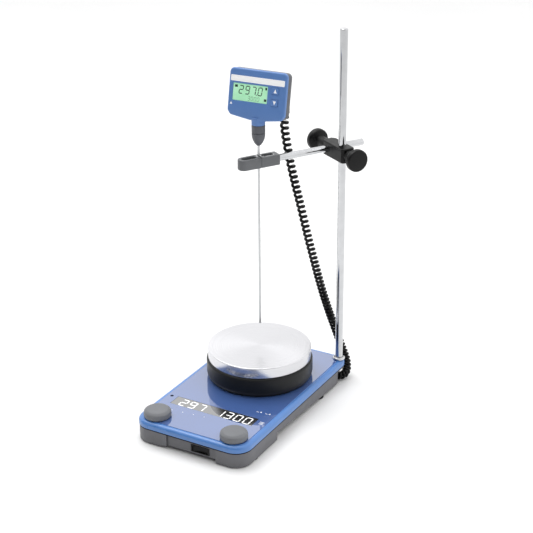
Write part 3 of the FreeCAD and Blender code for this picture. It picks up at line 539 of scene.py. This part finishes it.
def head_black():
    """The head's black coat over a casting."""
    return moulded("head_black", srgb(12, 12, 13), 0.38, 0.9 * MM, 0.03 * MM, 0.15, Specular_IOR_Level=0.22)


def clip_grey():
    return moulded("clip_grey", srgb(104, 106, 109), 0.5, 0.35 * MM, 0.03 * MM)


def case_blue():
    return moulded("case_blue", srgb(94, 134, 196), 0.42, 0.4 * MM, 0.015 * MM, 0.03)


def case_grey():
    return moulded("case_grey", srgb(90, 92, 98), 0.45, 0.35 * MM, 0.03 * MM)


def plate_metal():
    """Aluminium turned on a lathe: fine rings about the plate's middle, and a few darker ones."""
    surface = Surface("plate_metal")
    surface.put(Metallic=1.0, Anisotropic=0.6)
    centre = middle("hot_plate")
    shift = surface.node("ShaderNodeVectorMath", operation="SUBTRACT")
    shift.inputs[1].default_value = (centre.x, centre.y, 0)
    surface.join(surface.place, shift.inputs[0])
    flat = surface.node("ShaderNodeVectorMath", operation="MULTIPLY")
    flat.inputs[1].default_value = (1, 1, 0)
    surface.join(shift.outputs[0], flat.inputs[0])
    radius = surface.node("ShaderNodeVectorMath", operation="LENGTH")
    surface.join(flat.outputs[0], radius.inputs[0])
    rings = surface.node("ShaderNodeTexNoise", noise_dimensions="1D")
    rings.inputs["Scale"].default_value = 1 / (0.7 * MM)
    rings.inputs["Detail"].default_value = 4
    surface.join(radius.outputs["Value"], rings.inputs["W"])
    metal = srgb(222, 222, 225)
    surface.join(surface.tint(rings.outputs["Fac"], scaled(metal, 0.93), scaled(metal, 1.03)),
                 surface.shader.inputs["Base Color"])
    surface.join(surface.spread(rings.outputs["Fac"], 0.2, 0.34), surface.shader.inputs["Roughness"])
    surface.bump(rings.outputs["Fac"], 0.01 * MM, 0.5)
    tangent = surface.node("ShaderNodeTangent", direction_type="RADIAL", axis="Z")
    surface.join(tangent.outputs["Tangent"], surface.shader.inputs["Tangent"])
    return surface.material


def chrome_rod():
    return polished("chrome_rod", srgb(205, 206, 208), 0.09)


def steel():
    return polished("steel", srgb(196, 197, 199), 0.22)


def display():
    """Black glass over the display."""
    surface = Surface("display")
    surface.join(surface.tint(surface.noise(30 * MM), (0.004, 0.005, 0.006, 1), (0.012, 0.013, 0.014, 1)),
                 surface.shader.inputs["Base Color"])
    surface.join(surface.spread(surface.noise(12 * MM), 0.02, 0.05), surface.shader.inputs["Roughness"])
    surface.put(IOR=2.6, Coat_Weight=1.0, Coat_IOR=2.5, Coat_Roughness=0.02)
    return surface.material


def display_white():
    """The lit digits and the white marks."""
    surface = Surface("display_white")
    surface.join(surface.tint(surface.noise(3 * MM), (0.86, 0.87, 0.88, 1), (0.95, 0.95, 0.96, 1)),
                 surface.shader.inputs["Base Color"])
    surface.put(Roughness=0.35, Emission_Color=(1, 1, 1, 1), Emission_Strength=0.35)
    return surface.material


# White print with a faint glow added on top: the glow is painted light, since print gives none of its own.
def white_print():
    return moulded("white_print", srgb(252, 252, 254), 0.35, 0.5 * MM, 0.005 * MM, 0.02,
                   Emission_Color=(1, 1, 1, 1), Emission_Strength=0.12)


def green_display():
    """The liquid crystal with its green light, its tone changing a little from place to place."""
    surface = Surface("green_display")
    surface.join(surface.tint(surface.noise(16 * MM), srgb(164, 222, 180), srgb(186, 236, 200)),
                 surface.shader.inputs["Base Color"])
    surface.put(Roughness=0.25, Emission_Color=srgb(170, 235, 190), Emission_Strength=0.3, Coat_Weight=0.5)
    return surface.material


def liquid_crystal():
    return moulded("liquid_crystal", srgb(38, 66, 52), 0.4, 0.5 * MM, 0.003 * MM, 0.1)


def pale_crystal():
    return moulded("pale_crystal", srgb(120, 178, 138), 0.4, 0.5 * MM, 0.003 * MM, 0.1)


def board():
    return moulded("board", srgb(44, 110, 70), 0.4, 1.2 * MM, 0.03 * MM, 0.12)


def copper():
    return polished("copper", srgb(190, 120, 76), 0.35, (1, 1, 6))


def magnet():
    return polished("magnet", srgb(120, 120, 124), 0.4, (1, 1, 1))


def insulation():
    return moulded("insulation", srgb(214, 208, 190), 0.85, 0.8 * MM, 0.1 * MM, 0.08)


MAKERS = (blue_cover, panel_glass, grey_housing, knob_grey, black_ring, black_plastic, black_rubber,
          cord_black, head_black, clip_grey, case_blue, case_grey, plate_metal, chrome_rod, steel, display,
          display_white, white_print, green_display, liquid_crystal, pale_crystal, board, copper, magnet,
          insulation)
made_materials = {}


def maker(function):
    """A call that makes a material once and then gives the same one."""
    def once():
        if function.__name__ not in made_materials:
            made_materials[function.__name__] = function()
        return made_materials[function.__name__]
    return once


MATERIALS = {function.__name__: maker(function) for function in MAKERS}


def finish_nodes():
    """Gives every node of the model its own material."""
    for entry in frame["record"]["subparts"]:
        mesh = nodes[entry["node"]].data
        mesh.materials.clear()
        mesh.materials.append(MATERIALS[entry["material_slot"]]())


# ---------------------------------------------------------------- pieces

def about(node, turn=0.0):
    """The upright axis through the middle of a node, turned about it."""
    place = middle(node)
    return Matrix.Translation((place.x, place.y, 0)) @ Matrix.Rotation(turn, 4, "Z")


def slide(x=0.0, y=0.0, z=0.0):
    """A move in millimetres."""
    return Matrix.Translation((x * MM, y * MM, z * MM))


def tilt(degrees, axis):
    """A turn about an axis through the origin."""
    return Matrix.Rotation(math.radians(degrees), 4, axis)


# Where the pieces are drawn: HEAD on the stand rod at the holding rod's height, with the holding rod
# along Y; SENSOR upright on the probe; CASE leaning back about its neck; FACE flat on the case's front.
ARM_HEIGHT, ARM_OFFSET, ARM_TURN = 322.6, 23.5, 58.5 - 90
SENSOR_TURN, CASE_LEAN, NECK_HEIGHT = 3.3, -11.7, 370
HEAD = about("support_rod", math.radians(ARM_TURN)) @ slide(z=ARM_HEIGHT)
SENSOR = about("probe", math.radians(SENSOR_TURN))
CASE = SENSOR @ slide(-1.3, 0, NECK_HEIGHT) @ tilt(CASE_LEAN, "X") @ slide(z=-NECK_HEIGHT)
FACE = CASE @ slide(y=-9) @ tilt(90, "X")
PANEL = slide(z=30.6)


def add_base():
    """The knobs, plate, ring and seam."""
    knob = ([(0, 31.3), (16.9, 31.3), (17.4, 33), (17.0, 38.2), (13.6, 40.7), (10.6, 41.05), (0, 41.3)],
            [0, 0.5, 3, 2.4, 4, 1.2, 0])
    for name in ("heat", "motor"):
        cap = lathe(f"{name}_knob_cap", *knob, "knob_grey", about(f"{name}_knob"), f"{name}_dial")
        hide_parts(f"{name}_knob")
    plate = lathe("hot_plate_disc", [(0, 57.8), (67.5, 57.8), (67.5, 72), (0, 72)], [0, 0.7, 1, 0],
                  "plate_metal", about("hot_plate"), "base", 192)
    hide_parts("hot_plate")
    ring = lathe("pedestal_skirt", [
        (61, 30), (64, 30), (66.4, 31.2), (69.5, 37), (69.5, 57.3), (61.5, 57.3), (61.5, 40)],
        [0, 0.3, 5, 9, 3, 0.5, 0], "black_ring", about("hot_plate"), "base", 192)
    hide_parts("pedestal_ring")
    # A black band at the joint under the cover: partly a real seam, partly painted shade standing in for the
    # shadow under the cover's lip.
    seam = slab("housing_seam_and_shade", box_outline((-79.7, 79.7), (-138.7, 138.7), (21.7, 21.7, 11.7, 11.7)),
                [box_outline((-76.5, 76.5), (-135.5, 135.5), (18, 18, 8, 8))], (20.0, 21.65), 0.1,
                "black_rubber", Matrix(), "base", 0.1)
    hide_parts("housing_seal")


def add_display():
    """The lit numbers behind the pane, and small generic marks beside them."""
    lit = []
    for text, left, width, advance in (("297", -48.8, 9.6, 13.2), ("1", 5, 9.6, 13.2),
                                       ("300", 17.6, 9.8, 13.5)):
        lit += digit_shapes(text, (left, -83.2), width, 16, 1.6, advance, 0)
    prints("panel_digits", lit, 0.06, "display_white", slide(z=high("lcd_module").z / MM), "base")
    marks = [rectangle(x, y, 1.6, 0.35) for x, y in ((49.3, -49.8), (61.4, -49.2))]
    marks += [[(x - 1.4, y - 1.2), (x + 1.4, y - 1.2), (x, y + 1.4)]
              for x, y in ((53.6, -48.6), (65.6, -47.8))]
    marks += [rectangle(x, y, 0.5, 0.5)
              for x, y in ((-47.5, -97.5), (-32.6, -96), (-17.7, -94.6), (-2.8, -93.2))]
    marks += [[(64.6, y), (70.4, y), (70.4, y + 0.8), (64.6, y + 0.8)] for y in (-75, -72.6, -70.2)]
    prints("panel_marks", marks, 0.04, "white_print", PANEL, "base")


def add_stand():
    """The two rods, the collar and the clamp knobs."""
    pole = lathe("support_pole", [(0, 22.5), (5, 22.5), (5, 482), (0, 482)], [0, 0.5, 1.2, 0],
                 "chrome_rod", about("support_rod"), "stand", 64)
    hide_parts("support_rod")
    collar = lathe("rod_collar_ring", [(5.05, 30.7), (8, 30.7), (8, 32.6), (6.8, 33.8), (5.05, 33.8)],
                   [0, 0.5, 0.8, 0.7, 0.3], "chrome_rod", about("rod_collar"), "stand")
    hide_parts("rod_collar")
    bar = lathe("holding_bar", [(0, 0), (4.5, 0), (4.5, 137), (0, 137)], [0, 0.6, 0.8, 0], "chrome_rod",
                HEAD @ slide(-ARM_OFFSET, -92) @ tilt(-90, "X"), "arm", 64)
    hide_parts("holding_rod")
    knob = ([(0, 0), (5.5, 0), (6.1, 2.4), (13, 4), (14.3, 6.4), (14.3, 12.9), (0, 13)],
            [0, 0.6, 2, 1.5, 2, 1.8, 0])
    for name, start, way in (("rod_clamp", 25.5, 1), ("arm_clamp", -52, -1)):
        cap = lathe(f"{name}_cap", *knob, "black_plastic", HEAD @ slide(start) @ tilt(90 * way, "Y"), name)
        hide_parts(f"{name}_knob")


def on_arm(half_width, y, *radii):
    """A rounded rectangle centred on the holding rod; one radius for all corners, or four."""
    x = (-ARM_OFFSET - half_width, -ARM_OFFSET + half_width)
    return box_outline(x, y, radii if len(radii) == 4 else radii * 4)


def add_clip():
    """The clip's two halves, each with a long pocket in its top, and the metal in the pockets."""
    for name, y, radii, pocket in (("clip_body", (-106.9, -80), (0.6, 0.6, 2.4, 2.4), (-103.6, -87)),
                                   ("clip_jaw", (-135.5, -107.1), (7.6, 7.6, 0.6, 0.6), (-131, -111))):
        shell = slab(f"{name}_shell", on_arm(8, y, *radii), [on_arm(4.4, pocket, 4.2)], (-6.7, 6.7), 1.1,
                     "clip_grey", HEAD, "arm", 0.7)
        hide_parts(name)
        slab(f"{name}_floor", on_arm(4.8, (pocket[0] - 0.4, pocket[1] + 0.4), 4.4), [], (-6.2, 3.2), 0.4,
             "black_plastic", HEAD, "arm")
    rim = slab("clip_pocket_rim", on_arm(5.2, (-104.4, -86.2), 4.9), [on_arm(4.5, (-103.7, -86.9), 4.2)],
               (6.3, 7), 0.2, "steel", HEAD, "arm", 0.1)
    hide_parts("clip_spring")
    for name, y in (("clip_link_front", -109.4), ("clip_link_rear", -105)):
        slab(name, on_arm(2.6, (y - 1.1, y + 1.1), 1), [], (6.4, 7.4), 0.35, "steel", HEAD, "arm")


def case_outline(grow=0.0):
    """The case's front view, anticlockwise: level at the top, sloping in below towards the neck."""
    half = 39 + grow
    points = [(-8.5, 375.4 - grow), (8.5, 375.4 - grow), (half - 4, 379.2 - grow), (half, 384.5),
              (half, 437.2 + grow), (-half, 437.2 + grow), (-half, 384.5), (-half + 4, 379.2 - grow)]
    return rounded(in_mm(points), [2 * MM, 2 * MM, 5 * MM, 5 * MM, 6 * MM, 6 * MM, 5 * MM, 5 * MM])


def add_sensor():
    """The thermometer: its two shells, the gland, the display, the keys and the blank label."""
    window = box_outline((-33, 14.4), (397.4, 418.8), (0.8, 0.8, 0.8, 0.8))
    key_x = (20, 29.2)
    keys = {"up": 414.6, "down": 400.2}
    holes = [box_outline((key_x[0] - 0.2, key_x[1] + 0.2), (z - 4, z + 4), (1, 1, 1, 1))
             for z in keys.values()]
    front = slab("sensor_front_case", case_outline(), [window, *holes], (-6.6, 0), 2.2, "case_blue", FACE,
                 "sensor", 0.15)
    back = slab("sensor_back_case", case_outline(-0.25), [], (-16, -4.6), 1.6, "case_grey", FACE, "sensor")
    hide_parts("sensor_back_shell")
    lathe("sensor_neck", [(1.55, 370.6), (8.5, 370.6), (8.5, 380.5), (0.1, 380.5)], [0, 0.3, 0, 0],
          "case_blue", SENSOR, "sensor", 64)
    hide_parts("sensor_front_shell")
    lathe("sensor_spout", [(0, -1), (3.6, -1), (3, 8), (0, 8)], [0, 0, 0.6, 0], "black_plastic",
          CASE @ slide(25, 7, 391) @ tilt(-90, "X"), "sensor", 32)
    ring = lathe("gland_band", [(1.55, 360.5), (8.1, 360.5), (8.5, 361.1), (8.5, 370.4), (1.55, 370.4)],
                 [0, 0.3, 0.5, 0.4, 0], "case_grey", SENSOR, "sensor", 64)
    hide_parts("gland_ring")
    tip = lathe("gland_cone", [(1.55, 343.2), (3.1, 344.4), (5.6, 347.6), (7.4, 351.6), (8.3, 355.6),
                               (8.5, 360.2), (1.55, 360.2)],
                [0.3, 4, 12, 14, 12, 0.3, 0], "case_grey", SENSOR, "sensor", 64)
    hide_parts("gland_tip")
    # what is printed or lit on the face
    face_box = [(-36.6, 421), (36.4, 421), (36.4, 428.3), (-36.6, 428.3)]
    prints("label_blank", [rounded(face_box, [0.8] * 4)], 0.08, "white_print", FACE, "sensor")
    level = FACE @ slide(z=-0.8)
    prints("sensor_digits", digit_shapes("297.0", (-25.4, 406), 6, 10.6, 1.1, 8.6, 0.12), 0.05,
           "liquid_crystal", level, "sensor")
    prints("sensor_small_digits", digit_shapes("300.0", (-12.4, 399), 3, 5.2, 0.5, 4.2, 0.12), 0.05,
           "pale_crystal", level, "sensor")
    icons = [rectangle(x, z, half, 1.5)
             for x, z, half in ((-28.8, 415.1, 1.9), (11.9, 415.6, 1.2), (11.6, 401.6, 1.6))]
    prints("sensor_icons", icons, 0.05, "liquid_crystal", level, "sensor")
    for name, way in (("up", 1), ("down", -1)):
        z = keys[name]
        cap = slab(f"{name}_key_cap", box_outline(key_x, (z - 3.8, z + 3.8), (1.2, 1.2, 1.2, 1.2)), [],
                   (-5, 0.9), 0.6, "case_blue", FACE, f"{name}_key")
        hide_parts(f"{name}_button")
        arrow = [(22.9, z - 2.3 * way), (26.9, z - 2.3 * way), (24.9, z + 2.3 * way)][::way]
        prints(f"{name}_key_arrow", [arrow], 0.06, "white_print", FACE @ slide(z=0.9), f"{name}_key")
    mark = [(-35.6, 392.4), (-32.2, 392.4), (-33.9, 395.4)]
    prints("face_mark", [mark], 0.08, "white_print", FACE, "sensor")


# ---------------------------------------------------------------- room

FLOOR_REACH = 12
DIM_SIDE = (-0.1, -0.995, 0)
DIM_FACING = (-0.1, 0.6)  # the room dims as a direction turns towards the dim side
DIM_HEIGHT = (0.5, 0.75)  # and the dimness ends between these heights
ROOM_BACK, ROOM_FRONT = 1.15, 0.05
LAMP_PLACE, LAMP_AIM = (-0.7, 0.3, 1.9), (0, 0, 0.15)
LAMP_SIZE, LAMP_POWER = 1.4, 19


def add_floor():
    """A wide pale floor."""
    mesh = bpy.data.meshes.new("floor")
    mesh.from_pydata([(-FLOOR_REACH, -FLOOR_REACH, 0), (FLOOR_REACH, -FLOOR_REACH, 0),
                      (FLOOR_REACH, FLOOR_REACH, 0), (-FLOOR_REACH, FLOOR_REACH, 0)], [], [(0, 1, 2, 3)])
    floor = link(bpy.data.objects.new("floor", mesh))
    surface = Surface("floor")
    surface.join(surface.tint(surface.noise(0.4), (0.90, 0.90, 0.90, 1), (0.93, 0.93, 0.93, 1)),
                 surface.shader.inputs["Base Color"])
    surface.put(Roughness=0.7, Specular_IOR_Level=0.2)
    mesh.materials.append(surface.material)


def add_world():
    """A white room that is dimmer low down in front."""
    world = bpy.data.worlds.new("room")
    world.use_nodes = True
    tree = world.node_tree
    background = tree.nodes["Background"]
    background.inputs["Color"].default_value = (1, 1, 1, 1)

    def span(source, *ends):
        ramped = tree.nodes.new("ShaderNodeMapRange")
        ramped.interpolation_type = "SMOOTHSTEP"
        for key, value in zip(("From Min", "From Max", "To Min", "To Max"), ends):
            ramped.inputs[key].default_value = value
        tree.links.new(source, ramped.inputs["Value"])
        return ramped.outputs["Result"]

    direction = tree.nodes.new("ShaderNodeTexCoord").outputs["Generated"]
    facing = tree.nodes.new("ShaderNodeVectorMath")
    facing.operation = "DOT_PRODUCT"
    facing.inputs[1].default_value = DIM_SIDE
    tree.links.new(direction, facing.inputs[0])
    apart = tree.nodes.new("ShaderNodeSeparateXYZ")
    tree.links.new(direction, apart.inputs[0])
    dim = tree.nodes.new("ShaderNodeMath")
    dim.operation = "MULTIPLY"
    tree.links.new(span(facing.outputs["Value"], *DIM_FACING, 0, 1), dim.inputs[0])
    tree.links.new(span(apart.outputs["Z"], *DIM_HEIGHT, 1, 0), dim.inputs[1])
    tree.links.new(span(dim.outputs["Value"], 0, 1, ROOM_BACK, ROOM_FRONT), background.inputs["Strength"])
    bpy.context.scene.world = world
    bpy.context.scene.view_settings.view_transform = "Standard"


def add_lamp():
    """A large soft light overhead."""
    light = bpy.data.lights.new("overhead", "AREA")
    light.shape = "DISK"
    light.size = LAMP_SIZE
    light.energy = LAMP_POWER
    lamp = link(bpy.data.objects.new("overhead", light))
    lamp.location = LAMP_PLACE
    lamp.rotation_euler = (Vector(LAMP_AIM) - lamp.location).to_track_quat("-Z", "Y").to_euler()


add_camera()
add_cord()
finish_nodes()
add_base()
add_display()
add_stand()
add_clip()
add_sensor()
add_floor()
add_world()
add_lamp()
